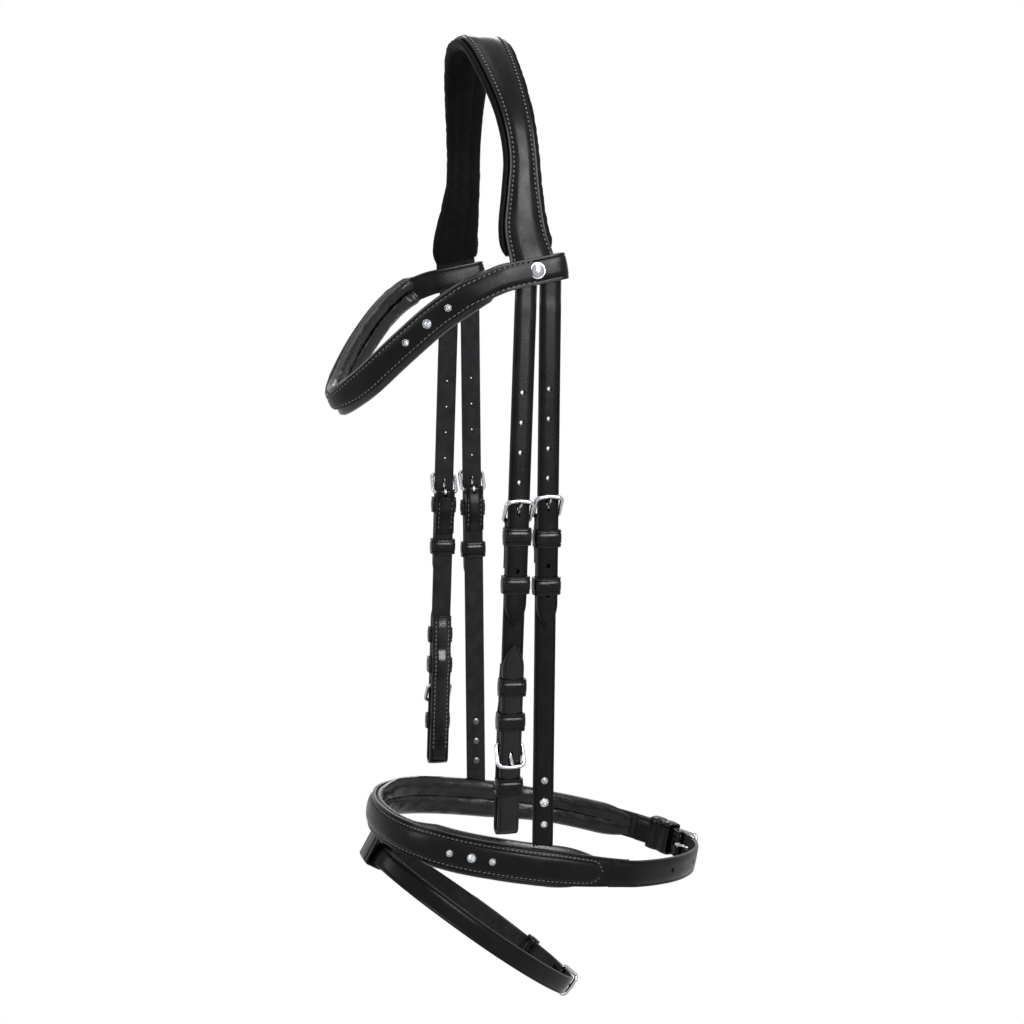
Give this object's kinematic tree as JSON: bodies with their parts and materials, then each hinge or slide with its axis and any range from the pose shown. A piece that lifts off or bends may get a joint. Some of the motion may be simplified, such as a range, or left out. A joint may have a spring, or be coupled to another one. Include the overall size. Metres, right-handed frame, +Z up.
{
  "type": "snaffle bridle",
  "caption": "Padded anatomical snaffle bridle with shaped browband and flash noseband, buckled cheekpieces and loops for a bit; straps swing, buckle tongues lift, runners slide.",
  "frame": {"origin": "underside of the crown padding on the poll, in the middle", "axes": "+X to the near side (the horse's left), -Y to the horse's nose, +Z up"},
  "size_m": [0.1986, 0.2729, 0.6737],
  "materials": {
    "leather": "black bridle leather, smooth waxed outer side",
    "lining": "soft black padded leather, matt",
    "chrome": "polished",
    "crystal": "faceted, foil-backed"
  },
  "bodies": {
    "crown": {"crown_leather": "leather", "crown_padding": "lining"},
    "browband": {"browband_leather": "leather", "near_browband_loop": "leather", "far_browband_loop": "leather", "browband_padding": "lining", "browband_settings": "chrome", "browband_stones": "crystal", "browband_studs": "chrome"},
    "near_cheek": {"near_cheek_billet": "leather", "near_cheek_strap": "leather", "near_cheek_buckle": "chrome", "near_cheek_keeper": "leather", "near_bit_billet": "leather", "near_bit_buckle": "chrome", "near_bit_keepers": "leather"},
    "near_hanger": {"near_hanger_billet": "leather", "near_hanger_strap": "leather", "near_hanger_buckle": "chrome", "near_hanger_keeper": "leather", "near_hanger_settings": "chrome", "near_hanger_stones": "crystal"},
    "far_cheek": {"far_cheek_billet": "leather", "far_cheek_strap": "leather", "far_cheek_buckle": "chrome", "far_cheek_keeper": "leather", "far_bit_billet": "leather", "far_bit_buckle": "chrome", "far_bit_keepers": "leather"},
    "far_hanger": {"far_hanger_billet": "leather", "far_hanger_strap": "leather", "far_hanger_buckle": "chrome", "far_hanger_keeper": "leather", "far_hanger_settings": "chrome", "far_hanger_stones": "crystal"},
    "noseband": {"noseband_leather": "leather", "noseband_overlay": "leather", "noseband_padding": "lining", "noseband_settings": "chrome", "noseband_stones": "crystal", "chin_billet": "leather", "chin_buckle": "chrome", "chin_keepers": "leather", "flash_loop": "leather"},
    "flash": {"flash_strap": "leather", "flash_buckle": "chrome", "flash_keeper": "leather"},
    "near_cheek_tongue": {"near_cheek_tongue": "chrome"},
    "near_bit_tongue": {"near_bit_tongue": "chrome"},
    "near_hanger_tongue": {"near_hanger_tongue": "chrome"},
    "near_cheek_runner": {"near_cheek_runner": "leather"},
    "near_hanger_runner": {"near_hanger_runner": "leather"},
    "far_cheek_tongue": {"far_cheek_tongue": "chrome"},
    "far_bit_tongue": {"far_bit_tongue": "chrome"},
    "far_hanger_tongue": {"far_hanger_tongue": "chrome"},
    "far_cheek_runner": {"far_cheek_runner": "leather"},
    "far_hanger_runner": {"far_hanger_runner": "leather"},
    "chin_tongue": {"chin_tongue": "chrome"},
    "flash_tongue": {"flash_tongue": "chrome"}
  },
  "joints": [
    {"name": "browband_tilt", "type": "hinge", "parent": "crown", "child": "browband", "pos_m": [0, -0.011, -0.1521], "axis": [1, 0, 0], "range_deg": [-6, 6]},
    {"name": "near_cheek_swing", "type": "hinge", "parent": "crown", "child": "near_cheek", "pos_m": [0.091, -0.0178, -0.18156], "axis": [0, -1, 0], "range_deg": [-10, 40]},
    {"name": "far_cheek_swing", "type": "hinge", "parent": "crown", "child": "far_cheek", "pos_m": [-0.091, -0.0178, -0.18156], "axis": [0, 1, 0], "range_deg": [-10, 40]},
    {"name": "near_hanger_sway", "type": "hinge", "parent": "crown", "child": "near_hanger", "pos_m": [0.0788, -0.0012, -0.18156], "axis": [0, 1, 0], "range_deg": [-6, 6]},
    {"name": "far_hanger_sway", "type": "hinge", "parent": "crown", "child": "far_hanger", "pos_m": [-0.0788, -0.0012, -0.18156], "axis": [0, 1, 0], "range_deg": [-6, 6]},
    {"name": "noseband_level", "type": "hinge", "parent": "near_hanger", "child": "noseband", "pos_m": [0.0788, -0.0012, -0.52656], "axis": [0, 1, 0], "range_deg": [-6, 6]},
    {"name": "flash_swing", "type": "hinge", "parent": "noseband", "child": "flash", "pos_m": [0, -0.10093, -0.54022], "axis": [1, 0, 0], "range_deg": [-6, 12]},
    {"name": "near_cheek_tongue_lift", "type": "hinge", "parent": "near_cheek", "child": "near_cheek_tongue", "pos_m": [0.087, -0.02215, -0.30598], "axis": [0, 0.9994, -0.0349], "range_deg": [0, 10]},
    {"name": "near_bit_tongue_lift", "type": "hinge", "parent": "near_cheek", "child": "near_bit_tongue", "pos_m": [0.087, -0.02722, -0.4514], "axis": [0, -0.9994, 0.0349], "range_deg": [0, 10]},
    {"name": "near_hanger_tongue_lift", "type": "hinge", "parent": "near_hanger", "child": "near_hanger_tongue", "pos_m": [0.08374, -0.0012, -0.30391], "axis": [0, 1, 0], "range_deg": [0, 10]},
    {"name": "far_cheek_tongue_lift", "type": "hinge", "parent": "far_cheek", "child": "far_cheek_tongue", "pos_m": [-0.087, -0.02215, -0.30598], "axis": [0, -0.9994, 0.0349], "range_deg": [0, 10]},
    {"name": "far_bit_tongue_lift", "type": "hinge", "parent": "far_cheek", "child": "far_bit_tongue", "pos_m": [-0.087, -0.02722, -0.4514], "axis": [0, 0.9994, -0.0349], "range_deg": [0, 10]},
    {"name": "far_hanger_tongue_lift", "type": "hinge", "parent": "far_hanger", "child": "far_hanger_tongue", "pos_m": [-0.08374, -0.0012, -0.30391], "axis": [0, -1, 0], "range_deg": [0, 10]},
    {"name": "chin_tongue_lift", "type": "hinge", "parent": "noseband", "child": "chin_tongue", "pos_m": [-0.00588, 0.13365, -0.56526], "axis": [0, 0.1942, 0.981], "range_deg": [0, 10]},
    {"name": "flash_tongue_lift", "type": "hinge", "parent": "flash", "child": "flash_tongue", "pos_m": [-0.00381, 0.03861, -0.65309], "axis": [0, 0.6293, 0.7771], "range_deg": [0, 10]},
    {"name": "near_cheek_runner_slide", "type": "slide", "parent": "near_cheek", "child": "near_cheek_runner", "axis": [0, -0.0349, -0.9994], "range_m": [-0.0035, 0.015]},
    {"name": "near_hanger_runner_slide", "type": "slide", "parent": "near_hanger", "child": "near_hanger_runner", "axis": [-0.0267, 0, -0.9996], "range_m": [-0.008, 0.015]},
    {"name": "far_cheek_runner_slide", "type": "slide", "parent": "far_cheek", "child": "far_cheek_runner", "axis": [0, -0.0349, -0.9994], "range_m": [-0.0035, 0.015]},
    {"name": "far_hanger_runner_slide", "type": "slide", "parent": "far_hanger", "child": "far_hanger_runner", "axis": [0.0267, 0, -0.9996], "range_m": [-0.008, 0.015]}
  ],
  "couplings": [
    {"joint": "noseband_level", "follows": "near_hanger_sway", "ratio": -1},
    {"joint": "far_hanger_sway", "follows": "near_hanger_sway", "ratio": 1}
  ]
}
